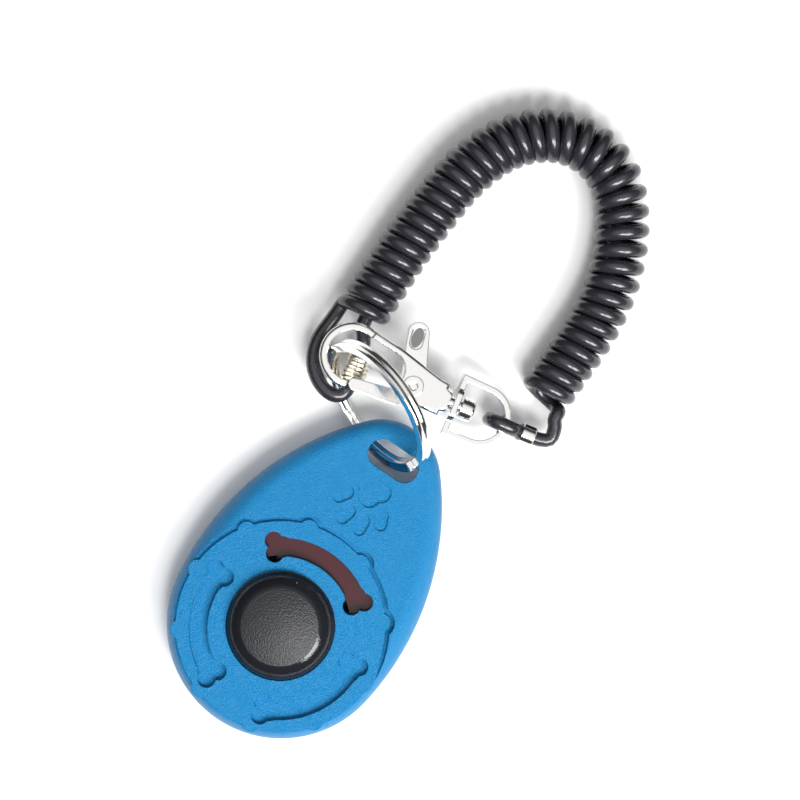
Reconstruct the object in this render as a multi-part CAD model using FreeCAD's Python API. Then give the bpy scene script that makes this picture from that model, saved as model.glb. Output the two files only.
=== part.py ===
"""Dog-training clicker with a key ring, a trigger snap hook and a coiled wrist strap.

Millimetres. +Y runs from the button to the narrow tip, +Z up. The origin is on the button's axis,
on the flat face that the clicker rests on. Each physical piece is written to its own STEP file.
"""
import FreeCAD, Part

import math
import os

from FreeCAD import Matrix, Vector

# ---------------------------------------------------------------- driving dimensions
# Teardrop outline: a round end about the button, a narrow tip, and a flank arc between them
BASE_R = 22.0
TIP_R = 11.5
TIP_Y = 33.6
FLANK_R = 55.0

# Housing heights
PARTING_Z = 6.5
CROWN_Z = 12.0          # top plane above the button's axis
CROWN_SLOPE = -0.055    # the top falls towards the tip
SHOULDER_BASE = 5.2     # how far the rounded shoulder reaches in, at the round end
SHOULDER_TIP = 3.0      # and at the tip
WALL = 1.8
BACK_SHOULDER = 4.6
BACK_RISE_Y = 16.0      # where the resting face starts to lift towards the tip
BACK_RISE_R = 95.0
TIP_SOLID_Y = 29.5      # beyond this the tip is solid round the ring slot

# Ring slot through the tip
SLOT_Y = 37.9
SLOT_HALF_LENGTH = 5.3
SLOT_HALF_WIDTH = 2.75
SLOT_FLARE = 4.2         # how much wider the slot is on the underside
SLOT_FLARE_TOP = 5.8     # where the flare begins

# Tabbed dial round the button
DIAL_R = 19.9
DIAL_TABS = 10
DIAL_TAB_R = 1.8
DIAL_TAB_REACH = 1.0    # how far the tabs stand out of the plate's edge
DIAL_DROP = 0.9         # dial face below the crown
DIAL_GROOVE = 0.85
DIAL_GROOVE_DEPTH = 0.7
BONE_CENTRE = Vector(0.2, -0.5, 0)
BONE_MEAN_R = 15.5
BONE_HALF_WIDTH = 1.75
BONE_HALF_ANGLE = 38.5
BONE_KNOB_R = 1.7
BONE_KNOB_OFFSET = 1.25
BONE_NECK_R = 2.05      # fills out the shaft just inside the knobs
BONE_NECK_ANGLE = 5.5
BONE_DEPTH = 1.3
PAW = (0.1, 30.4)        # middle of the paw print
PAW_DEPTH = 0.35

# Button
BUTTON_HOLE_R = 10.4
BUTTON_SKIRT_R = 10.15
BUTTON_FACE_R = 7.3
BUTTON_TOP_Z = 15.4
BUTTON_FLANGE_R = 11.5
BUTTON_SEAT_Z = 9.4     # underside of the dial, where the flange stops
BUTTON_TRAVEL = 1.6

# Clicking reed and its holder
REED_Z = 4.7
REED_T = 0.4
REED_HALF_WIDTH = 5.5
HOLDER_HALF_WIDTH = 8.0
END_BLOCK = (13.2, 18.6, 50.0, 8.0)       # inner and outer radius, half angle, top
RIVET_X, RIVET_Y = 3.4, -9.75
FLOOR_Z = 1.6

# Case screws, (x, y)
SCREW_SPOTS = ((-12.2, 21.5), (12.2, 21.5), (0.0, -17.2))
SCREW_R = 1.1
SCREW_HEAD_R = 2.2
SCREW_SEAT_Z = 2.4

# Split ring: two flat turns, standing on edge through the slot
RING_MEAN_R = 13.0
RING_SECTION_R = 2.0    # radial width of the wire
RING_TURN_T = 1.1       # thickness of one turn
RING_CENTRE = Vector(-8.6, 44.9, 13.4)
RING_AZIMUTH = -21.5    # direction of the ring's level diameter
RING_TILT = 66.0
RING_RELIEF_R = 1.75     # groove in the underside where the ring lies

# Snap hook, in its own frame: a along the swivel axis, b across, c out of its flat face
HOOK_ORIGIN = Vector(-17.85, 50.1, 11.3)
HOOK_AZIMUTH = 11.5
HOOK_DIP = 8.5
HOOK_HALF_T = 1.8
MOUTH_R = 4.8
RIM_R = 6.3
PIVOT = (12.9, -0.9)
PIVOT_R = 1.25
SWIVEL_B = -1.0
NECK_END_A = 19.4
POST_START_A = 16.4
LEVER_HALF_T = 0.85
SLOT_HALF_T = 0.98

# Swivel eye, a D of flat strip
EYE_BASE_A = 21.3
EYE_STRIP = 1.2
EYE_FAR_A = 33.1
EYE_HALF_WIDTH = 6.1
EYE_HALF_DEPTH = 1.3
POST_R = 1.25

# Coiled cord
CORD_R = 1.4
COIL_R = 5.4
COIL_ROUTE = (
    (-21.1, 57.6), (-21.1, 64.5), (-21.3, 73.0), (-20.9, 82.0), (-20.2, 91.2), (-16.4, 101.8),
    (-7.8, 108.9), (3.2, 108.6), (10.8, 100.9), (15.7, 90.6), (17.3, 80.2), (17.0, 71.0),
    (17.0, 63.6),
)
RING_LOOP_ROUTE = (
    (-25.0, 57.6, 5.4), (-25.0, 54.2, 5.4), (-25.4, 48.6, 5.6), (-23.3, 44.2, 6.3),
    (-19.5, 41.7, 6.9), (-15.8, 41.7, 6.9), (-14.6, 44.3, 6.6), (-17.4, 53.8, 5.4),
    (-19.7, 55.9, 5.4), (-19.7, 57.6, 5.4),
)
LEAD_ROUTE = ((22.3, 60.6, 5.2), (21.0, 62.0, 5.4), (21.0, 63.6, 5.4))    # ends in the coil
CRIMP_R = 2.4
CRIMP_LENGTH = 6.8
LOOP_R = 3.1            # bend of the cord round the eye's bow
CRIMP_A = (35.6, 38.2)

UP = Vector(0, 0, 1)
FAR = 60.0


# ---------------------------------------------------------------- helpers
def unit(angle_deg):
    """Level direction at an angle from +X."""
    return Vector(math.cos(math.radians(angle_deg)), math.sin(math.radians(angle_deg)), 0)


def arc(p, q, r):
    return Part.Arc(p, q, r).toShape()


def prism(wire, z0, z1):
    """Upright solid between two heights from a closed wire drawn at height 0."""
    face = Part.Face(wire)
    face.translate(Vector(0, 0, z0))
    return face.extrude(Vector(0, 0, z1 - z0))


def polygon(points):
    """Closed wire through level points (x, y)."""
    corners = [Vector(x, y, 0) for x, y in points]
    return Part.makePolygon(corners + corners[:1])


def cylinder(x, y, z0, z1, radius):
    return Part.makeCylinder(radius, z1 - z0, Vector(x, y, z0), UP)


def hull(p, rp, q, rq, z0, z1):
    """Solid outline round two circles, like a link plate. p and q are (x, y)."""
    a, b = Vector(p[0], p[1], 0), Vector(q[0], q[1], 0)
    along = b - a
    heading = math.atan2(along.y, along.x)
    spread = math.acos((rp - rq) / along.Length)
    sides = []
    for turn in (heading + spread, heading - spread):
        out = Vector(math.cos(turn), math.sin(turn), 0)
        sides.append((a + out * rp, b + out * rq))
    back = a - along.normalize() * rp
    front = b + along * rq
    wire = Part.Wire([
        Part.LineSegment(sides[0][0], sides[0][1]).toShape(),
        arc(sides[0][1], front, sides[1][1]),
        Part.LineSegment(sides[1][1], sides[1][0]).toShape(),
        arc(sides[1][0], back, sides[0][0]),
    ])
    return prism(wire, z0, z1)


def rounded_path(points):
    """Straight runs joined by tangent arcs, each 0.45 of its shorter run. Returns wire and radii."""
    knots = [Vector(*p) for p in points]
    edges, radii, start = [], [], knots[0]
    for before, corner, after in zip(knots, knots[1:], knots[2:]):
        arriving = (corner - before).normalize()
        leaving = (after - corner).normalize()
        turn = arriving.getAngle(leaving)
        cut = 0.45 * min((corner - before).Length, (after - corner).Length)
        radius = cut / math.tan(turn / 2)
        radii.append(radius)
        begin, end = corner - arriving * cut, corner + leaving * cut
        towards = (leaving - arriving).normalize()
        centre = corner + towards * (radius / math.cos(turn / 2))
        middle = centre - towards * radius
        edges.append(Part.LineSegment(start, begin).toShape())
        edges.append(arc(begin, middle, end))
        start = end
    edges.append(Part.LineSegment(start, knots[-1]).toShape())
    return Part.Wire(edges), radii


def tube(points, radius, name):
    """Round bar along a route, with its radii and volume printed for checking."""
    path, radii = rounded_path(points)
    start = Vector(*points[0])
    heading = Vector(*points[1]) - start
    section = Part.Wire(Part.Circle(start, heading, radius).toShape())
    solid = path.makePipeShell([section], True, False)
    expected = math.pi * radius ** 2 * path.Length
    print(name, "length %.1f" % path.Length, "least radius %.1f" % min(radii),
          "volume ratio %.4f" % (solid.Volume / expected))
    return solid


def hook_frame():
    """Placement of the hook's a, b and c axes in the clicker's frame."""
    dip = math.radians(HOOK_DIP)
    level = unit(HOOK_AZIMUTH)
    a = level * math.cos(dip) - UP * math.sin(dip)
    b = unit(HOOK_AZIMUTH + 90)
    c = a.cross(b)
    o = HOOK_ORIGIN
    return Matrix(a.x, b.x, c.x, o.x, a.y, b.y, c.y, o.y, a.z, b.z, c.z, o.z, 0, 0, 0, 1)


def from_hook(shape):
    return shape.transformed(hook_frame(), True)


def save(name, shape):
    shape.exportStep("parts/" + name + ".step")
    box = shape.optimalBoundingBox()
    print("%-14s valid %s solids %d volume %.1f  x %.2f..%.2f y %.2f..%.2f z %.2f..%.2f" % (
        name, shape.isValid(), len(shape.Solids), shape.Volume,
        box.XMin, box.XMax, box.YMin, box.YMax, box.ZMin, box.ZMax))


# ---------------------------------------------------------------- housing
def outline(base_r, tip_r, flank_r):
    """Teardrop wire of four tangent arcs."""
    from_base, from_tip = flank_r - base_r, flank_r - tip_r
    centre_y = (TIP_Y ** 2 + from_base ** 2 - from_tip ** 2) / (2 * TIP_Y)
    centre_x = -math.sqrt(from_base ** 2 - centre_y ** 2)
    flank = Vector(centre_x, centre_y, 0)
    tip = Vector(0, TIP_Y, 0)
    low = (Vector() - flank).normalize() * base_r
    high = tip + (tip - flank).normalize() * tip_r
    side = flank + ((low + high) * 0.5 - flank).normalize() * flank_r

    def mirrored(p):
        return Vector(-p.x, p.y, p.z)

    return Part.Wire([
        arc(mirrored(low), Vector(0, -base_r, 0), low),
        arc(low, side, high),
        arc(high, Vector(0, TIP_Y + tip_r, 0), mirrored(high)),
        arc(mirrored(high), mirrored(side), mirrored(low)),
    ])


def inset_outline(base_inset, tip_inset):
    return outline(BASE_R - base_inset, TIP_R - tip_inset, FLANK_R - base_inset)


def lifted(wire, z0, slope):
    """The wire sheared so that its height is z0 + slope * y."""
    shear = Matrix(1, 0, 0, 0, 0, 1, 0, 0, 0, slope, 1, z0, 0, 0, 0, 1)
    return wire.transformGeometry(shear)


def pebble(z0, z1, slope, base_reach, tip_reach, skin, steps=7):
    """Shell form from a flat parting line at z0 to a sloping face z1 + slope * y, with a round shoulder."""
    rings = []
    for i in range(steps + 1):
        t = math.pi / 2 * i / steps
        rise, reach = math.sin(t), 1 - math.cos(t)
        wire = inset_outline(skin + base_reach * reach, skin + tip_reach * reach)
        rings.append(lifted(wire, z0 + (z1 - z0) * rise, slope * rise))
    return Part.makeLoft(rings, True, False)


def dial_plate(grow, z0, z1):
    """Round plate with evenly spaced rounded tabs, grown outwards by an offset."""
    disc = cylinder(0, 0, z0, z1, DIAL_R + grow)
    tabs = []
    for i in range(DIAL_TABS):
        spot = unit(360.0 * i / DIAL_TABS) * (DIAL_R + DIAL_TAB_REACH - DIAL_TAB_R)
        tabs.append(cylinder(spot.x, spot.y, z0, z1, DIAL_TAB_R + grow))
    return disc.multiFuse(tabs).removeSplitter()


def sector(inner, outer, middle_angle, half_angle, z0, z1):
    """Upright piece of a ring round the button's axis."""
    low, high = middle_angle - half_angle, middle_angle + half_angle
    return prism(Part.Wire([
        arc(unit(low) * outer, unit(middle_angle) * outer, unit(high) * outer),
        Part.LineSegment(unit(high) * outer, unit(high) * inner).toShape(),
        arc(unit(high) * inner, unit(middle_angle) * inner, unit(low) * inner),
        Part.LineSegment(unit(low) * inner, unit(low) * outer).toShape(),
    ]), z0, z1)


def bone(middle_angle, z0, z1):
    """Curved bone: a bar bent round the button with two knobs at each end."""
    low, high = middle_angle - BONE_HALF_ANGLE, middle_angle + BONE_HALF_ANGLE
    inner, outer = BONE_MEAN_R - BONE_HALF_WIDTH, BONE_MEAN_R + BONE_HALF_WIDTH
    bar = sector(inner, outer, middle_angle, BONE_HALF_ANGLE, z0, z1)
    knobs = []
    for end in (low + BONE_NECK_ANGLE, high - BONE_NECK_ANGLE):
        spot = unit(end) * BONE_MEAN_R
        knobs.append(cylinder(spot.x, spot.y, z0, z1, BONE_NECK_R))
    for end in (low, high):
        for offset in (-BONE_KNOB_OFFSET, BONE_KNOB_OFFSET):
            spot = unit(end) * (BONE_MEAN_R + offset)
            knobs.append(cylinder(spot.x, spot.y, z0, z1, BONE_KNOB_R))
    whole = bar.multiFuse(knobs).removeSplitter()
    whole.translate(BONE_CENTRE)
    return whole


def paw(z0, z1):
    """Paw print with its toes towards the button."""
    x, y = PAW
    pad = hull((x - 1.5, y + 1.2), 1.9, (x + 1.5, y + 1.2), 1.9, z0, z1)
    pad = pad.fuse(cylinder(x, y - 0.6, z0, z1, 2.1)).removeSplitter()
    toes = []
    for across, along, lean in ((-4.4, -3.1, 28), (-1.8, -6.0, 9), (1.8, -6.0, -9), (4.4, -3.1, -28)):
        spot = (x + across, y + along)
        toe = hull((spot[0], spot[1] - 0.9), 1.15, (spot[0], spot[1] + 0.8), 1.35, z0, z1)
        toe.rotate(Vector(spot[0], spot[1], 0), UP, -lean)
        toes.append(toe)
    return Part.makeCompound([pad] + toes)


def slot(grow, z0, z1):
    reach = SLOT_HALF_LENGTH - SLOT_HALF_WIDTH
    radius = SLOT_HALF_WIDTH + grow
    return hull((-reach, SLOT_Y), radius, (reach, SLOT_Y), radius, z0, z1)


def slot_wire(grow, z):
    """Lower outline of the slot's prism at a height."""
    bottom = min(slot(grow, z, z + 1).Faces, key=lambda face: face.CenterOfMass.z)
    return bottom.OuterWire


def below_plane(z0, slope):
    """Everything under the plane z0 + slope * y."""
    side = Part.Wire(Part.makePolygon([
        Vector(-FAR, -FAR, -FAR), Vector(-FAR, FAR, -FAR), Vector(-FAR, FAR, z0 + slope * FAR),
        Vector(-FAR, -FAR, z0 - slope * FAR), Vector(-FAR, -FAR, -FAR)]))
    return Part.Face(side).extrude(Vector(2 * FAR, 0, 0))


def behind_tip():
    return Part.makeBox(2 * FAR, FAR + TIP_SOLID_Y, 2 * FAR, Vector(-FAR, -FAR, -FAR))


def front_shell():
    body = pebble(PARTING_Z, CROWN_Z, CROWN_SLOPE, SHOULDER_BASE, SHOULDER_TIP, 0)
    dial_z = CROWN_Z - DIAL_DROP
    moat = dial_plate(DIAL_GROOVE, PARTING_Z, CROWN_Z + 5)
    moat = moat.cut(below_plane(dial_z - DIAL_GROOVE_DEPTH, CROWN_SLOPE))
    dial = dial_plate(0, PARTING_Z, CROWN_Z + 5).common(below_plane(dial_z, CROWN_SLOPE))
    body = body.cut(moat).fuse(dial)

    cavity = pebble(PARTING_Z, CROWN_Z - DIAL_DROP - WALL, CROWN_SLOPE, SHOULDER_BASE - 1.2,
                    SHOULDER_TIP, WALL).common(behind_tip())
    seat = cylinder(0, 0, PARTING_Z, BUTTON_SEAT_Z, BUTTON_FLANGE_R + 0.4)
    body = body.cut(cavity.fuse(seat))
    for x, y in SCREW_SPOTS:
        body = body.fuse(cylinder(x, y, PARTING_Z, CROWN_Z - 2.2, 2.7))
    for x, y in SCREW_SPOTS:
        body = body.cut(cylinder(x, y, PARTING_Z - 1, CROWN_Z - 2.9, SCREW_R + 0.05))

    body = body.cut(cylinder(0, 0, 0, FAR, BUTTON_HOLE_R))
    body = body.cut(bone(90, 0, FAR))
    for middle in (210, 330):
        floor = below_plane(dial_z - BONE_DEPTH, CROWN_SLOPE)
        body = body.cut(bone(middle, PARTING_Z, CROWN_Z + 5).cut(floor))
    body = body.cut(paw(PARTING_Z, CROWN_Z + 5).cut(below_plane(CROWN_Z - PAW_DEPTH, CROWN_SLOPE)))
    body = body.cut(slot(0, 0, FAR))
    return body.removeSplitter()


def back_profile():
    """Side profile that lifts the underside towards the tip."""
    centre = Vector(-FAR, BACK_RISE_Y, BACK_RISE_R)

    def at(y):
        drop = math.sqrt(BACK_RISE_R ** 2 - (y - BACK_RISE_Y) ** 2)
        return Vector(-FAR, y, centre.z - drop)

    start, middle, end = Vector(-FAR, BACK_RISE_Y, 0), at(35), at(55)
    first = Vector(-FAR, -FAR, 0)
    tops = [Vector(-FAR, end.y, FAR), Vector(-FAR, -FAR, FAR)]
    wire = Part.Wire([
        Part.LineSegment(first, start).toShape(), arc(start, middle, end),
        Part.LineSegment(end, tops[0]).toShape(), Part.LineSegment(tops[0], tops[1]).toShape(),
        Part.LineSegment(tops[1], first).toShape(),
    ])
    return Part.Face(wire).extrude(Vector(2 * FAR, 0, 0))


def back_shell():
    body = pebble(PARTING_Z, 0, 0, BACK_SHOULDER, BACK_SHOULDER, 0).common(back_profile())
    cavity = pebble(PARTING_Z, FLOOR_Z, 0, BACK_SHOULDER - 0.8, BACK_SHOULDER - 0.8, WALL)
    body = body.cut(cavity.common(behind_tip()))
    for x, y in SCREW_SPOTS:
        body = body.fuse(cylinder(x, y, FLOOR_Z - 0.6, PARTING_Z, 3.1))
    for x, y in SCREW_SPOTS:
        body = body.cut(cylinder(x, y, -1, PARTING_Z + 1, SCREW_R + 0.15))
        body = body.cut(cylinder(x, y, -1, SCREW_SEAT_Z, SCREW_HEAD_R + 0.2))
    body = body.cut(slot(0, -1, FAR))
    flare = Part.makeLoft([slot_wire(SLOT_FLARE, 0.6), slot_wire(0, SLOT_FLARE_TOP)], True, True)
    body = body.cut(flare.fuse(slot(SLOT_FLARE, -1, 0.6)))
    level, rising, normal = ring_axes()
    relief = Part.makeTorus(RING_MEAN_R, RING_RELIEF_R, RING_CENTRE, normal)
    return body.cut(relief).removeSplitter()


def case_screws():
    """Three pan-head screws with crossed slots, entered from the back."""
    screws = []
    for x, y in SCREW_SPOTS:
        head = cylinder(x, y, 0.8, SCREW_SEAT_Z, SCREW_HEAD_R)
        shank = cylinder(x, y, SCREW_SEAT_Z, CROWN_Z - 3.4, SCREW_R)
        screw = head.fuse(shank)
        for length, width in ((2.6, 0.6), (0.6, 2.6)):
            corner = Vector(x - length / 2, y - width / 2, 0)
            screw = screw.cut(Part.makeBox(length, width, 1.5, corner))
        screws.append(screw.removeSplitter())
    return Part.makeCompound(screws)


def button_cap():
    """Hollow cap: domed face, convex skirt, retaining flange and a plunger over the reed."""
    def at(r, z):
        return Vector(r, 0, z)

    flange_low = BUTTON_SEAT_Z - 1.05
    flange_top = BUTTON_SEAT_Z - 0.05
    rim_z = BUTTON_TOP_Z - 0.9
    skirt_low = 12.1
    inner = BUTTON_SKIRT_R - 1.5
    plunger_r = 2.2
    edges = [
        arc(at(0, BUTTON_TOP_Z), at(BUTTON_FACE_R / 2, BUTTON_TOP_Z - 0.25), at(BUTTON_FACE_R, rim_z)),
        arc(at(BUTTON_FACE_R, rim_z), at(8.95, 13.55), at(BUTTON_SKIRT_R, skirt_low)),
    ]
    corners = [
        at(BUTTON_SKIRT_R, skirt_low), at(BUTTON_SKIRT_R, flange_top), at(BUTTON_FLANGE_R, flange_top),
        at(BUTTON_FLANGE_R, flange_low), at(inner, flange_low), at(inner, 11.4), at(6.6, 13.1),
        at(plunger_r, 13.4), at(plunger_r, REED_Z + REED_T + 0.35), at(0, REED_Z + REED_T + 0.2),
        at(0, BUTTON_TOP_Z),
    ]
    for p, q in zip(corners, corners[1:]):
        edges.append(Part.LineSegment(p, q).toShape())
    return Part.Face(Part.Wire(edges)).revolve(Vector(), UP, 360)


def reed_holder():
    """Frame on the back shell's floor: a seat for the reed, a window under it and a raised end block."""
    z0 = FLOOR_Z + 0.05

    def block(half_width, y0, y1, z1):
        return Part.makeBox(2 * half_width, y1 - y0, z1 - z0, Vector(-half_width, y0, z0))

    base = block(HOLDER_HALF_WIDTH, -12.5, 13.5, z0 + 1.4)
    window = Part.makeBox(2 * REED_HALF_WIDTH + 1, 16, 6, Vector(-REED_HALF_WIDTH - 0.5, -5.5, 0))
    body = base.cut(window).fuse([
        block(HOLDER_HALF_WIDTH, -12.5, -7.0, REED_Z),
        block(HOLDER_HALF_WIDTH, 11.0, 12.6, REED_Z - 0.3),
        sector(END_BLOCK[0], END_BLOCK[1], 90, END_BLOCK[2], z0, END_BLOCK[3]),
    ])
    for x in (-RIVET_X, RIVET_X):
        body = body.cut(cylinder(x, RIVET_Y, 0, 10, 0.85))
    return body.removeSplitter()


def click_reed():
    """Spring-steel tongue with the pressed dimple that makes it snap."""
    width = 2 * REED_HALF_WIDTH
    strip = Part.makeBox(width, 24, REED_T, Vector(-REED_HALF_WIDTH, -12.2, REED_Z))
    strip = strip.makeFillet(1.5, [e for e in strip.Edges if abs(e.BoundBox.ZLength - REED_T) < 1e-6])
    drop = 0.7
    radius = (4.0 ** 2 + drop ** 2) / (2 * drop)
    middle = Vector(0, 0, REED_Z - drop + radius)
    bowl = Part.makeSphere(radius, middle).common(cylinder(0, 0, 0, REED_Z + REED_T, 4.4))
    hollow = Part.makeSphere(radius - REED_T, middle).common(cylinder(0, 0, 0, FAR, 4.4))
    strip = strip.fuse(bowl).cut(hollow)
    for x in (-RIVET_X, RIVET_X):
        strip = strip.cut(cylinder(x, RIVET_Y, 0, 10, 0.85))
    return strip.removeSplitter()


def reed_rivets():
    rivets = []
    for x in (-RIVET_X, RIVET_X):
        shank = cylinder(x, RIVET_Y, FLOOR_Z + 0.1, REED_Z + REED_T, 0.8)
        head = cylinder(x, RIVET_Y, REED_Z + REED_T, REED_Z + REED_T + 0.6, 1.5)
        rivets.append(shank.fuse(head).removeSplitter())
    return Part.makeCompound(rivets)


# ---------------------------------------------------------------- split ring
def ring_axes():
    """The ring's level direction, its rising direction and its normal."""
    level = unit(RING_AZIMUTH)
    tilt = math.radians(RING_TILT)
    rising = unit(RING_AZIMUTH + 90) * math.cos(tilt) + UP * math.sin(tilt)
    return level, rising, level.cross(rising)


def split_ring():
    """Two touching turns of rounded flat wire, wound as one helix."""
    pitch = RING_TURN_T + 0.03
    helix = Part.makeHelix(pitch, 2 * pitch, RING_MEAN_R)
    half_r, half_t, soft = RING_SECTION_R / 2, RING_TURN_T / 2, 0.3
    corners = [Vector(RING_MEAN_R + x, 0, z) for x, z in (
        (-half_r, -half_t), (half_r, -half_t), (half_r, half_t), (-half_r, half_t))]
    box = Part.Face(Part.makePolygon(corners + corners[:1]))
    edges = []
    for i in range(4):
        before, corner, after = corners[i - 1], corners[i], corners[(i + 1) % 4]
        into = (before - corner).normalize() * soft
        out = (after - corner).normalize() * soft
        centre = corner + into + out
        middle = centre - (into + out).normalize() * soft
        following = after + (corner - after).normalize() * soft
        edges.append(arc(corner + into, middle, corner + out))
        edges.append(Part.LineSegment(corner + out, following).toShape())
    solid = Part.Wire(helix).makePipeShell([Part.Wire(edges)], True, True)
    solid.translate(Vector(0, 0, -pitch))
    level, rising, normal = ring_axes()
    o = RING_CENTRE
    frame = Matrix(level.x, rising.x, normal.x, o.x, level.y, rising.y, normal.y, o.y,
                   level.z, rising.z, normal.z, o.z, 0, 0, 0, 1)
    return solid.transformed(frame, True)


# ---------------------------------------------------------------- snap hook
def softened(solid, size):
    """The upright solid with its top and bottom edges chamfered."""
    return solid.makeChamfer(size, [e for e in solid.Edges if e.BoundBox.ZLength < 1e-6])


def hook_body():
    half = HOOK_HALF_T
    rim = softened(cylinder(0, 0, -1.5, 1.5, RIM_R), 0.45)
    reach = math.radians(68)
    shoulder = (RIM_R * math.cos(reach), RIM_R * math.sin(reach))
    plate = prism(polygon((
        shoulder, (8.5, 4.75), (17.3, 2.45), (NECK_END_A, 2.2), (NECK_END_A, -4.2),
        (14.6, -4.1), (10.9, -3.9), (9.4, -3.0), (4.0, 0.0), (0, 0))), -half, half)
    plate = softened(plate, 0.4)
    boss = cylinder(PIVOT[0], PIVOT[1], -half, half, 3.4)
    neck = Part.makeCone(3.2, 2.2, 2.6, Vector(NECK_END_A - 1.4, SWIVEL_B, 0), Vector(1, 0, 0))
    body = rim.fuse([plate, boss])
    mouth = hull((0, 0), MOUTH_R, (7.0, 0.2), 3.5, -FAR, FAR)
    gap = prism(polygon(((1.0, -1.0), (1.0, -9.0), (10.0, -9.0), (10.2, -1.0))), -FAR, FAR)
    body = body.cut(mouth).cut(gap)
    lever_slot = prism(polygon(((7.6, 9.0), (7.6, -9.0), (16.3, -9.0), (16.3, 9.0))),
                       -SLOT_HALF_T, SLOT_HALF_T)
    body = body.cut(lever_slot)
    neck = neck.common(Part.makeBox(FAR, FAR, 2 * half, Vector(0, -FAR / 2, -half)))
    body = body.fuse(neck)
    body = body.cut(Part.makeCylinder(POST_R, 9, Vector(POST_START_A, SWIVEL_B, 0), Vector(1, 0, 0)))
    body = body.cut(cylinder(PIVOT[0], PIVOT[1], -FAR, FAR, PIVOT_R))
    return from_hook(body.removeSplitter())


def gate_lever():
    """Gate arm that closes the mouth, elbow round the rivet, and the thumb tab."""
    t = LEVER_HALF_T
    arm = hull((2.55, -4.9), 1.15, (10.4, -4.2), 1.5, -t, t)
    elbow = hull((10.4, -4.2), 1.5, PIVOT, 2.5, -t, t)
    thumb = hull(PIVOT, 2.5, (10.1, 8.9), 2.05, -t, t)
    lever = arm.fuse([elbow, thumb]).removeSplitter()
    grip = hull((10.35, 6.9), 1.25, (10.1, 8.9), 1.25, t - 0.3, FAR)
    lever = lever.cut(grip)
    lever = lever.cut(cylinder(PIVOT[0], PIVOT[1], 0.0, FAR, 2.0))
    return from_hook(lever.cut(cylinder(PIVOT[0], PIVOT[1], -FAR, FAR, PIVOT_R + 0.05)).removeSplitter())


def gate_rivet():
    x, y = PIVOT
    half = HOOK_HALF_T
    shank = cylinder(x, y, -half, half, PIVOT_R)
    heads = [cylinder(x, y, half, half + 0.5, 2.0), cylinder(x, y, -half - 0.5, -half, 2.0)]
    dimple = cylinder(x, y, half + 0.2, FAR, 0.8)
    return from_hook(shank.fuse(heads).removeSplitter().cut(dimple))


def gate_spring():
    """Two turns of spring wire round the rivet, in the lever's pocket."""
    wire_r = 0.18
    coil_r = 1.62
    helix = Part.makeHelix(0.39, 0.39, coil_r)
    section = Part.Wire(Part.Circle(Vector(coil_r, 0, 0), Vector(0, 1, 0), wire_r).toShape())
    coil = Part.Wire(helix).makePipeShell([section], True, True)
    coil.translate(Vector(PIVOT[0], PIVOT[1], 0.22))
    return from_hook(coil)


# ---------------------------------------------------------------- swivel eye
def swivel_post():
    """Pin through the hook's neck with a peened head inside the eye."""
    axis = Vector(1, 0, 0)
    start, head_a = POST_START_A, EYE_BASE_A + EYE_STRIP + 0.5
    shank = Part.makeCylinder(POST_R, head_a - start, Vector(start, SWIVEL_B, 0), axis)
    head = Part.makeCylinder(2.25, 2.7, Vector(head_a, SWIVEL_B, 0), axis)
    rim_edges = [e for e in head.Edges if e.Curve.TypeId == "Part::GeomCircle"]
    return from_hook(shank.fuse(head.makeFillet(0.6, rim_edges[:1])).removeSplitter())


def eye_outline(inset):
    """D outline: straight base, straight sides that splay in, and a round bow."""
    half = EYE_HALF_WIDTH - inset
    base, far = EYE_BASE_A + inset, EYE_FAR_A - inset
    bend = far - half * 1.02
    b = SWIVEL_B
    return Part.Wire([
        Part.LineSegment(Vector(base, b - half, 0), Vector(base, b + half, 0)).toShape(),
        Part.LineSegment(Vector(base, b + half, 0), Vector(bend, b + half * 0.97, 0)).toShape(),
        arc(Vector(bend, b + half * 0.97, 0), Vector(far, b, 0), Vector(bend, b - half * 0.97, 0)),
        Part.LineSegment(Vector(bend, b - half * 0.97, 0), Vector(base, b - half, 0)).toShape(),
    ])


def swivel_eye():
    d = EYE_HALF_DEPTH
    strip = prism(eye_outline(0), -d, d).cut(prism(eye_outline(EYE_STRIP), -FAR, FAR))
    base = Part.makeBox(EYE_STRIP, 6.4, 4.6, Vector(EYE_BASE_A, SWIVEL_B - 3.2, -2.3))
    base = base.makeFillet(1.4, [e for e in base.Edges if abs(e.BoundBox.XLength - EYE_STRIP) < 1e-6])
    strip = strip.fuse(base)
    hole = Part.makeCylinder(POST_R + 0.06, 6, Vector(EYE_BASE_A - 2, SWIVEL_B, 0), Vector(1, 0, 0))
    return from_hook(strip.cut(hole).removeSplitter())


# ---------------------------------------------------------------- coiled strap
def on_hook(a, b, c):
    return hook_frame().multVec(Vector(a, b, c))


def eye_loop():
    """Cord end bent round the eye's bow, both strands gripped by the crimp."""
    front, rear = CRIMP_A
    inside, bend = EYE_FAR_A - 0.6 - LOOP_R, EYE_FAR_A + 0.2
    close = CORD_R + 0.05
    upper = [(rear - 0.5, close), (front - 0.7, close), (bend, LOOP_R), (inside, LOOP_R)]
    lower = [(a, -c) for a, c in reversed(upper)]
    route = [tuple(on_hook(a, SWIVEL_B, c)) for a, c in upper + lower]
    return tube(route, CORD_R, "eye_loop")


def coil_lead():
    """Cord from the back of the eye's crimp, on the swivel axis, to the end of the coil."""
    start = on_hook(CRIMP_A[1] - 0.2, SWIVEL_B, 0)
    ahead = on_hook(CRIMP_A[1] + 3.7, SWIVEL_B, 0)
    return tube([tuple(start), tuple(ahead)] + list(LEAD_ROUTE), CORD_R, "coil_lead")


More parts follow.
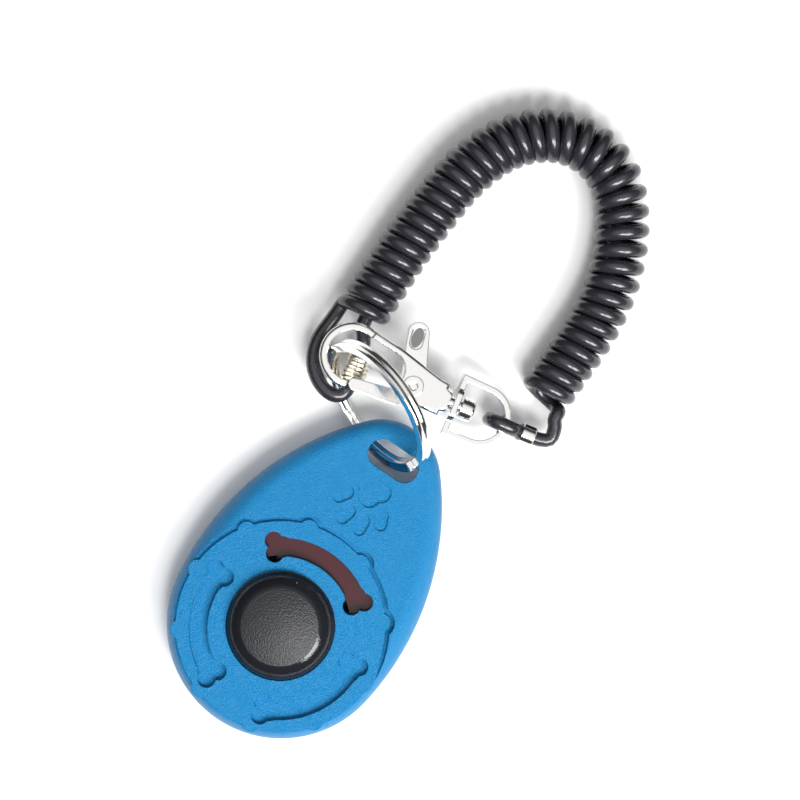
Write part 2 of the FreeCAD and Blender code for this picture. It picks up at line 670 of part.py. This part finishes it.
def eye_crimp():
    """Oval band round both strands, closed at the back where one strand leaves on the axis."""
    front, rear = CRIMP_A
    inside, skin = CORD_R + 0.05, 0.55

    def oval(radius, a0, a1):
        body = hull((0, CORD_R + 0.05), radius, (0, -CORD_R - 0.05), radius, a0, a1)
        turned = Matrix(0, 0, 1, 0, 1, 0, 0, SWIVEL_B, 0, 1, 0, 0, 0, 0, 0, 1)
        return body.transformed(turned, True)

    band = oval(inside + skin, front, rear)
    band = band.cut(oval(inside, front - 1, rear - 0.3))
    start = Vector(rear - 1, SWIVEL_B, 0)
    return from_hook(band.cut(Part.makeCylinder(CORD_R + 0.05, 5, start, Vector(1, 0, 0))))


def ring_crimp():
    """Sleeve of wound wire on the strap's ring loop, on the route's longest straight run."""
    p, q = Vector(*RING_LOOP_ROUTE[6]), Vector(*RING_LOOP_ROUTE[7])
    along = (q - p).normalize()
    start = p + along * 1.3
    turns = 8
    pitch = CRIMP_LENGTH / turns
    wire_r = pitch / 2
    wraps = [Part.makeCylinder(CRIMP_R - 0.2, CRIMP_LENGTH, start, along)]
    for i in range(turns):
        middle = start + along * (wire_r + i * pitch)
        wraps.append(Part.makeTorus(CRIMP_R - wire_r, wire_r, middle, along))
    sleeve = wraps[0].multiFuse(wraps[1:])
    return sleeve.cut(Part.makeCylinder(CORD_R + 0.05, 12, start - along, along))


def build():
    os.makedirs("parts", exist_ok=True)
    save("front_shell", front_shell())
    save("back_shell", back_shell())
    save("button_cap", button_cap())
    save("reed_holder", reed_holder())
    save("click_reed", click_reed())
    save("reed_rivets", reed_rivets())
    save("case_screws", case_screws())
    save("split_ring", split_ring())
    save("hook_body", hook_body())
    save("gate_lever", gate_lever())
    save("gate_rivet", gate_rivet())
    save("gate_spring", gate_spring())
    save("swivel_post", swivel_post())
    save("swivel_eye", swivel_eye())
    save("coil_cord", tube([(x, y, COIL_R) for x, y in COIL_ROUTE], COIL_R, "coil_cord"))
    save("ring_loop", tube(RING_LOOP_ROUTE, CORD_R, "ring_loop"))
    save("ring_crimp", ring_crimp())
    save("coil_lead", coil_lead())
    save("eye_loop", eye_loop())
    save("eye_crimp", eye_crimp())


build()
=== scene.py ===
"""Looks of the clicker trainer: camera, coiled cord, materials, floor and light.

Lengths are in metres, except for the routes and the points on the hook, which are in millimetres.
"""
import math

import bpy
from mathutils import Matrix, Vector


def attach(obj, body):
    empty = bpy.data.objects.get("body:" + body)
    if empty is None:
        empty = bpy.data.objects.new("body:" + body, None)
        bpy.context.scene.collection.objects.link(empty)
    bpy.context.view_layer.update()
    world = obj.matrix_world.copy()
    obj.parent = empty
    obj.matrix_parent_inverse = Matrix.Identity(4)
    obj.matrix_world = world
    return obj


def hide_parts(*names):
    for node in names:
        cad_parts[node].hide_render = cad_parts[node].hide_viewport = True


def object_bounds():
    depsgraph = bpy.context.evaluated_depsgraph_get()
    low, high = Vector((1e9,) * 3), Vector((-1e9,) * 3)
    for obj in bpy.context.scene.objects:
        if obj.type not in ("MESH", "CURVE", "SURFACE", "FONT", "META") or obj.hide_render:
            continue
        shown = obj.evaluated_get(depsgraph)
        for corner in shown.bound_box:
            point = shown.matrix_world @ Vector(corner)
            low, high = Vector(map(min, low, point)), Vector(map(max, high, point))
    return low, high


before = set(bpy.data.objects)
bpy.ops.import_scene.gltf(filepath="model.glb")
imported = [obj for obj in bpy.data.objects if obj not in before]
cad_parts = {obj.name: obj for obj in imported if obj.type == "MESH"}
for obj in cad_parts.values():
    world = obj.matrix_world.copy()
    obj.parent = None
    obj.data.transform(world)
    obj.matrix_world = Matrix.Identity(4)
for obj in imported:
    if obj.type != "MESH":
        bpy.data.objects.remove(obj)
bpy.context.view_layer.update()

MM = 0.001
UP = Vector((0, 0, 1))

# ---------------------------------------------------------------- driving values
CAMERA_SPOT = (-5.5 * MM, 48.23 * MM)   # the point on the table straight below the camera
CAMERA_HEIGHT = 450 * MM
CAMERA_ROLL = math.radians(34.4)
CAMERA_LENS = 104.0      # millimetres, on a sensor 36 wide
SENSOR_WIDTH = 36

CORD_R = 1.4 * MM
COIL_MEAN_R = 4.0 * MM                  # axis of the coil to the middle of the cord
COIL_HEIGHT = 5.4 * MM
POINTS_PER_TURN = 16
# Spacing of the turns along the coil, as (share of the way along, spacing)
TURN_SPACING = (
    (0.0, 2.82 * MM), (0.38, 2.84 * MM), (0.50, 3.3 * MM), (0.70, 3.4 * MM), (0.82, 3.0 * MM),
    (1.0, 2.82 * MM),
)
RUN_IN_SPACING = 3.5 * MM               # added to the spacing at each end
RUN_IN_FADE = 0.7 * MM                  # distance that brings it down to about a third
# Blender's curve resolutions: along a curve, between two control points, and round a cord
STRAP_STEPS = 4
EYE_LOOP_STEPS = 12
ROUTE_STEPS = 32
ROUND_RESOLUTION = 5

# The strap's route, with the same points as its solids. The loop and the lead are listed outwards
# from the coil, whose last turns stand in for their first points
COIL_ROUTE = [
    (-21.1, 57.6), (-21.1, 64.5), (-21.3, 73.0), (-20.9, 82.0), (-20.2, 91.2), (-16.4, 101.8),
    (-7.8, 108.9), (3.2, 108.6), (10.8, 100.9), (15.7, 90.6), (17.3, 80.2), (17.0, 71.0),
    (17.0, 63.6),
]
RING_LOOP_ROUTE = [
    (-25.0, 57.6, 5.4), (-25.0, 54.2, 5.4), (-25.4, 48.6, 5.6), (-23.3, 44.2, 6.3),
    (-19.5, 41.7, 6.9), (-15.8, 41.7, 6.9), (-14.6, 44.3, 6.6), (-17.4, 53.8, 5.4),
    (-19.7, 55.9, 5.4), (-19.7, 57.6, 5.4),
]
LOOP_TAIL = [(-20.6, 59.6, 5.4)]        # the loop's end, tucked into the coil
LEAD_ROUTE = [(21.0, 63.6, 5.4), (21.0, 62.0, 5.4), (22.3, 60.6, 5.2)]

# Snap hook's frame, where the swivel axis runs along a
HOOK_ORIGIN = Vector((-17.85, 50.1, 11.3)) * MM
HOOK_AZIMUTH = math.radians(11.5)
HOOK_DIP = math.radians(8.5)

# Points in that frame, in millimetres
SWIVEL_B = -1.0
EYE_FAR_A = 33.1
EYE_HALF_STRIP = 0.6
CRIMP_A = (35.6, 38.2)                  # front and back of the eye's crimp
LOOP_R = 3.1                            # bend of the cord round the eye's bow
LOOP_BEND = 0.2                         # where that bend begins, past the eye
LOOP_STRAIGHT = 0.7                     # straight cord in front of the crimp
LOOP_END = 0.5                          # cord's end, short of the crimp's back
STRAND_GAP = 0.05                       # between each strand and the swivel axis
LEAD_STRAIGHT = 3.7                     # straight cord behind the crimp
LEAD_TUCK = 0.2                         # lead's end, inside the crimp
# The recess's middle and half sizes also place the painted shade in the thumb tab
TAB_RECESS = (10.22, 7.9, 0.7)          # middle of the recess in the lever's thumb tab
TAB_RECESS_HALF = (1.2, 2.2, 0.9)

BLUE = (0.001, 0.175, 0.400, 1)
NICKEL = (0.90, 0.89, 0.87, 1)
# Painted shade: grey that darkens the recess in the lever's thumb tab
RECESS_PAINTED_SHADE = (0.11, 0.11, 0.11, 1)
CRIMP_METAL = (0.80, 0.74, 0.60, 1)
STEEL = (0.62, 0.62, 0.63, 1)
CORD_BLACK = (0.020, 0.020, 0.026, 1)
CAP_BLACK = (0.010, 0.011, 0.014, 1)
# Painted reflection: the reed holder's maroon stands in for a red reflection on its glossy dark
# surface
MAROON_PAINTED_REFLECTION = (0.045, 0.004, 0.008, 1)
FLOOR_WHITE = (0.93, 0.93, 0.93, 1)

NICKEL_ROUGHNESS = 0.09
RECESS_ROUGHNESS = 0.5
CAP_TEXTURE_R = 7.26 * MM               # the cap's texture is whole out to here
CAP_POLISH_R = 7.36 * MM                # and faint from here
CRISP_EDGE = math.radians(32)           # sharper bends than this are shaded as edges

FLOOR_HALF = 1.5                        # half the floor's side
FLOOR_DROP = 0.05 * MM                  # below the object, so that no faces coincide
# The surroundings, as (height from the horizon to overhead, brightness), the same below as at 0
SURROUNDINGS = ((0.0, 0.45), (0.03, 0.04), (0.62, 0.06), (0.86, 0.95), (1.0, 1.05))


# ---------------------------------------------------------------- camera
def add_camera():
    data = bpy.data.cameras.new("camera")
    data.sensor_width = SENSOR_WIDTH
    data.lens = CAMERA_LENS
    camera = bpy.data.objects.new("camera", data)
    camera.location = (*CAMERA_SPOT, CAMERA_HEIGHT)
    camera.rotation_euler = (0, 0, CAMERA_ROLL)
    bpy.context.collection.objects.link(camera)
    bpy.context.scene.camera = camera


# ---------------------------------------------------------------- materials
class Shader:
    """A material's node tree, built from the surface back. Its patterns stay fixed to the object."""

    def __init__(self, name, color, roughness, metallic=0.0, coat=0.0):
        self.material = bpy.data.materials.new(name)
        self.material.use_nodes = True
        self.tree = self.material.node_tree
        self.surface = self.tree.nodes["Principled BSDF"]
        self.set("Base Color", color)
        self.set("Roughness", roughness)
        self.set("Metallic", metallic)
        self.set("Coat Weight", coat)
        self.place = self.node("ShaderNodeTexCoord").outputs["Object"]

    def node(self, kind, **settings):
        made = self.tree.nodes.new(kind)
        for key, value in settings.items():
            setattr(made, key, value)
        return made

    def link(self, source, target):
        self.tree.links.new(source, target)

    def set(self, socket, value):
        self.surface.inputs[socket].default_value = value

    def noise(self, size, detail=2.0):
        made = self.node("ShaderNodeTexNoise")
        made.inputs["Scale"].default_value = 1 / size
        made.inputs["Detail"].default_value = detail
        self.link(self.place, made.inputs["Vector"])
        return made.outputs["Fac"]

    def remap(self, source, low, high, start=0.0, end=1.0):
        """Runs from low to high while the source goes from start to end."""
        made = self.node("ShaderNodeMapRange")
        made.inputs["From Min"].default_value = start
        made.inputs["From Max"].default_value = end
        made.inputs["To Min"].default_value = low
        made.inputs["To Max"].default_value = high
        self.link(source, made.inputs["Value"])
        return made.outputs["Result"]

    def mottle(self, size, low, high, detail=2.0):
        """Roughness that varies from low to high in patches of that size."""
        rough = self.remap(self.noise(size, detail), low, high)
        self.link(rough, self.surface.inputs["Roughness"])

    def relief(self, height, depth, strength=1.0, soft_edge=0.0):
        """Bumps of that depth, on edges rounded by soft_edge."""
        bump = self.node("ShaderNodeBump")
        bump.inputs["Strength"].default_value = strength
        bump.inputs["Distance"].default_value = depth
        self.link(height, bump.inputs["Height"])
        if soft_edge:
            bevel = self.node("ShaderNodeBevel", samples=6)
            bevel.inputs["Radius"].default_value = soft_edge
            self.link(bevel.outputs["Normal"], bump.inputs["Normal"])
        self.link(bump.outputs["Normal"], self.surface.inputs["Normal"])
        return bump


def moulded_blue():
    """Blue moulded plastic with a fine spark-eroded grain."""
    shader = Shader("moulded_blue", BLUE, roughness=0.42)
    shader.set("Specular IOR Level", 0.30)
    shader.relief(shader.noise(0.26 * MM), depth=0.30 * MM, soft_edge=0.28 * MM)
    shader.mottle(0.9 * MM, low=0.24, high=0.40)
    return shader.material


def cap_black():
    """Black cap: a textured matte face inside a polished skirt."""
    shader = Shader("cap_black", CAP_BLACK, roughness=0.5)
    shader.set("Specular IOR Level", 0.45)
    split = shader.node("ShaderNodeSeparateXYZ")
    shader.link(shader.place, split.inputs[0])
    flat = shader.node("ShaderNodeCombineXYZ")
    for axis in "XY":
        shader.link(split.outputs[axis], flat.inputs[axis])
    radius = shader.node("ShaderNodeVectorMath", operation="LENGTH")
    shader.link(flat.outputs[0], radius.inputs[0])
    texture = shader.remap(radius.outputs["Value"], low=0.42, high=0.10,
                           start=CAP_TEXTURE_R, end=CAP_POLISH_R)
    shader.link(texture, shader.surface.inputs["Roughness"])
    bump = shader.relief(shader.noise(0.32 * MM), depth=0.35 * MM)
    shader.link(texture, bump.inputs["Strength"])
    return shader.material


def plated(name, color, roughness):
    """Bright plated metal with slight waviness and soft edges."""
    shader = Shader(name, color, roughness, metallic=1.0)
    waves = shader.noise(2.5 * MM, detail=1)
    shader.relief(waves, depth=0.02 * MM, strength=0.25, soft_edge=0.45 * MM)
    return shader.material


def plated_lever():
    """Bright plating, with painted shade and a dull finish in the recess of the thumb tab."""
    shader = Shader("lever_nickel", NICKEL, NICKEL_ROUGHNESS, metallic=1.0)
    shader.relief(shader.noise(0.5 * MM), depth=0.05 * MM, strength=0.3, soft_edge=0.35 * MM)
    away = shader.node("ShaderNodeVectorMath", operation="SUBTRACT")
    shader.link(shader.place, away.inputs[0])
    away.inputs[1].default_value = on_hook(*TAB_RECESS)
    scaled = shader.node("ShaderNodeCombineXYZ")
    for i, (axis, half) in enumerate(zip(hook_axes(), TAB_RECESS_HALF)):
        part = shader.node("ShaderNodeVectorMath", operation="DOT_PRODUCT")
        shader.link(away.outputs[0], part.inputs[0])
        part.inputs[1].default_value = axis / (half * MM)
        shader.link(part.outputs["Value"], scaled.inputs[i])
    reach = shader.node("ShaderNodeVectorMath", operation="LENGTH")
    shader.link(scaled.outputs[0], reach.inputs[0])
    # Painted shade: an oval mask that turns the plating grey, and also dull, in the tab's recess
    inside = shader.remap(reach.outputs["Value"], low=0, high=1, start=1.0, end=0.9)
    ramp = shader.node("ShaderNodeValToRGB")
    for element, color in zip(ramp.color_ramp.elements, (NICKEL, RECESS_PAINTED_SHADE)):
        element.color = color
    shader.link(inside, ramp.inputs["Fac"])
    shader.link(ramp.outputs["Color"], shader.surface.inputs["Base Color"])
    rough = shader.remap(inside, NICKEL_ROUGHNESS, RECESS_ROUGHNESS)
    shader.link(rough, shader.surface.inputs["Roughness"])
    return shader.material


def glossy_cord():
    """Black polyurethane, glossy with faint scuffs."""
    shader = Shader("glossy_cord", CORD_BLACK, roughness=0.2, coat=0.25)
    shader.set("Coat Roughness", 0.08)
    shader.mottle(0.9 * MM, low=0.16, high=0.36, detail=3)
    shader.relief(shader.noise(0.5 * MM), depth=0.02 * MM, strength=0.35)
    return shader.material


def plain(name, color, roughness, metallic=0.0):
    """One colour, with the faintest relief."""
    shader = Shader(name, color, roughness, metallic)
    shader.relief(shader.noise(0.8 * MM), depth=0.01 * MM, strength=0.2)
    return shader.material


# ---------------------------------------------------------------- cords
def spline(name, points, steps, radius=0.0):
    """A smooth open NURBS curve with these control points, as a cord when it has a radius."""
    curve = bpy.data.curves.new(name, "CURVE")
    curve.dimensions = "3D"
    curve.resolution_u = steps
    curve.bevel_depth = radius
    curve.bevel_resolution = ROUND_RESOLUTION
    curve.use_fill_caps = True
    line = curve.splines.new("NURBS")
    line.points.add(len(points) - 1)
    for spot, point in zip(line.points, points):
        spot.co = (*point, 1)
    line.order_u = 3
    line.use_endpoint_u = True
    return bpy.data.objects.new(name, curve)


def along(points):
    """Points along the smooth curve, read from Blender's own NURBS."""
    route = spline("route", points, ROUTE_STEPS)
    mesh = bpy.data.meshes.new_from_object(route)
    line = [vertex.co.copy() for vertex in mesh.vertices]
    bpy.data.objects.remove(route)
    return line


def in_metres(points):
    return [Vector(point) * MM for point in points]


def spacing_at(distance, total):
    """Spacing of the turns at a distance along the coil, wider at both ends."""
    share = distance / total
    value = TURN_SPACING[-1][1]
    for (start, before), (end, after) in zip(TURN_SPACING, TURN_SPACING[1:]):
        if share <= end:
            value = before + (after - before) * (share - start) / (end - start)
            break
    from_end = min(distance, total - distance)
    return value + RUN_IN_SPACING * math.exp(-from_end / RUN_IN_FADE)


def coil_points():
    """Control points of the turns round the coil's route, from the ring end to the eye end.

    The angle grows with the distance walked, and is stretched to come out at whole turns.
    """
    route = along([Vector((x * MM, y * MM, COIL_HEIGHT)) for x, y in COIL_ROUTE])
    steps = [(q - p).length for p, q in zip(route, route[1:])]
    total = sum(steps)
    angles = [0.0]
    walked = 0.0
    for step in steps:
        angles.append(angles[-1] + math.tau * step / spacing_at(walked + step / 2, total))
        walked += step
    turns = round(angles[-1] / math.tau)
    stretch = turns * math.tau / angles[-1]
    count = turns * POINTS_PER_TURN
    # The control points stand a little outside the curve that they shape
    radius = COIL_MEAN_R * 2 / (1 + math.cos(math.pi / POINTS_PER_TURN))
    points = []
    near = 0
    for i in range(count + 1):
        angle = turns * math.tau * i / count
        while near < len(angles) - 2 and angles[near + 1] * stretch < angle:
            near += 1
        low, high = angles[near] * stretch, angles[near + 1] * stretch
        place = route[near].lerp(route[near + 1], min(1, (angle - low) / (high - low)))
        side = (route[near + 1] - route[near]).normalized().cross(UP)
        turn = math.pi - angle
        points.append(place + (side * math.cos(turn) + UP * math.sin(turn)) * radius)
    return points


def hook_axes():
    """The snap hook's a, b and c directions."""
    level = Vector((math.cos(HOOK_AZIMUTH), math.sin(HOOK_AZIMUTH), 0))
    along_a = level * math.cos(HOOK_DIP) - UP * math.sin(HOOK_DIP)
    along_b = UP.cross(level)
    return along_a, along_b, along_a.cross(along_b)


def on_hook(a, b, c):
    """A point in the snap hook's frame, given in millimetres."""
    along_a, along_b, along_c = hook_axes()
    return HOOK_ORIGIN + (along_a * a + along_b * b + along_c * c) * MM


def add_strap(material):
    """The whole cord from inside the coil, round the ring, through the turns and to the eye."""
    loop = in_metres(LOOP_TAIL + RING_LOOP_ROUTE[:0:-1])
    ahead = on_hook(CRIMP_A[1] + LEAD_STRAIGHT, SWIVEL_B, 0)
    start = on_hook(CRIMP_A[1] - LEAD_TUCK, SWIVEL_B, 0)
    points = loop + coil_points() + in_metres(LEAD_ROUTE[1:]) + [ahead, start]
    strap = spline("strap_cord", points, STRAP_STEPS, CORD_R)
    strap.data.materials.append(material)
    bpy.context.collection.objects.link(strap)
    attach(strap, "strap")
    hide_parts("coil_cord", "ring_loop", "coil_lead")


def add_eye_loop(material):
    """The cord's end, round the eye's bow and into the crimp."""
    front, rear = CRIMP_A
    close = CORD_R / MM + STRAND_GAP
    inside = EYE_FAR_A - EYE_HALF_STRIP - LOOP_R
    upper = [
        (rear - LOOP_END, close), (front - LOOP_STRAIGHT, close),
        (EYE_FAR_A + LOOP_BEND, LOOP_R), (inside, LOOP_R),
    ]
    lower = [(a, -c) for a, c in reversed(upper)]
    points = [on_hook(a, SWIVEL_B, c) for a, c in upper + lower]
    loop = spline("eye_cord", points, EYE_LOOP_STEPS, CORD_R)
    loop.data.materials.append(material)
    bpy.context.collection.objects.link(loop)
    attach(loop, "eye")
    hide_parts("eye_loop")


# ---------------------------------------------------------------- CAD nodes
def dress(material, *names):
    """Gives CAD nodes a material, smooth over their curves and crisp at their edges."""
    for name in names:
        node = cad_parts[name]
        if not node.material_slots:
            node.data.materials.append(material)
        for slot in node.material_slots:
            slot.material = material
        node.data.shade_smooth()
        node.data.set_sharp_from_angle(angle=CRISP_EDGE)


def dress_all():
    nickel = plated("bright_nickel", NICKEL, NICKEL_ROUGHNESS)
    steel = plain("spring_steel", STEEL, roughness=0.28, metallic=1.0)
    dress(moulded_blue(), "front_shell", "back_shell")
    dress(cap_black(), "button_cap")
    # The reed holder's maroon is a painted reflection of something red on a glossy dark part
    dress(plain("maroon_painted_reflection", MAROON_PAINTED_REFLECTION, roughness=0.15), "reed_holder")
    dress(nickel, "split_ring", "hook_body", "gate_rivet", "swivel_post", "swivel_eye", "eye_crimp")
    dress(plated_lever(), "gate_lever")
    dress(plated("crimp_metal", CRIMP_METAL, roughness=0.16), "ring_crimp")
    dress(steel, "click_reed", "reed_rivets", "gate_spring", "case_screws")


# ---------------------------------------------------------------- floor and light
def add_floor():
    """A white table under the object."""
    low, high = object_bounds()
    middle = [(a + b) / 2 for a, b in zip(low, high)]
    corners = [(middle[0] + x * FLOOR_HALF, middle[1] + y * FLOOR_HALF, low[2] - FLOOR_DROP)
               for x, y in ((-1, -1), (1, -1), (1, 1), (-1, 1))]
    mesh = bpy.data.meshes.new("floor")
    mesh.from_pydata(corners, [], [(0, 1, 2, 3)])
    floor = bpy.data.objects.new("floor", mesh)
    mesh.materials.append(plain("floor_white", FLOOR_WHITE, roughness=0.9))
    bpy.context.collection.objects.link(floor)


def add_lamp(name, place, size, power):
    """A square soft light aimed at the middle of the picture."""
    data = bpy.data.lights.new(name, "AREA")
    data.size = size
    data.energy = power
    lamp = bpy.data.objects.new(name, data)
    lamp.location = place
    target = Vector((*CAMERA_SPOT, 0))
    lamp.rotation_euler = (target - lamp.location).to_track_quat("-Z", "Y").to_euler()
    bpy.context.collection.objects.link(lamp)


def add_world():
    """White overhead and dark above the horizon, so that bright metal keeps dark outlines."""
    world = bpy.data.worlds.new("studio")
    world.use_nodes = True
    tree = world.node_tree
    place = tree.nodes.new("ShaderNodeTexCoord")
    split = tree.nodes.new("ShaderNodeSeparateXYZ")
    ramp = tree.nodes.new("ShaderNodeValToRGB")
    stops = ramp.color_ramp.elements
    while len(stops) < len(SURROUNDINGS):
        stops.new(0.5)
    for element, (height, value) in zip(stops, SURROUNDINGS):
        element.position = height
        element.color = (value, value, value, 1)
    tree.links.new(place.outputs["Generated"], split.inputs[0])
    tree.links.new(split.outputs["Z"], ramp.inputs["Fac"])
    tree.links.new(ramp.outputs["Color"], tree.nodes["Background"].inputs["Color"])
    bpy.context.scene.world = world


def add_lights():
    add_world()
    add_lamp("key", place=(0.40, -0.06, 0.44), size=0.28, power=3.8)
    add_lamp("sheen", place=(0.16, -0.12, 0.46), size=0.14, power=1.5)
    bpy.context.scene.view_settings.view_transform = "Standard"


add_camera()
cord_material = glossy_cord()
add_strap(cord_material)
add_eye_loop(cord_material)
dress_all()
add_floor()
add_lights()
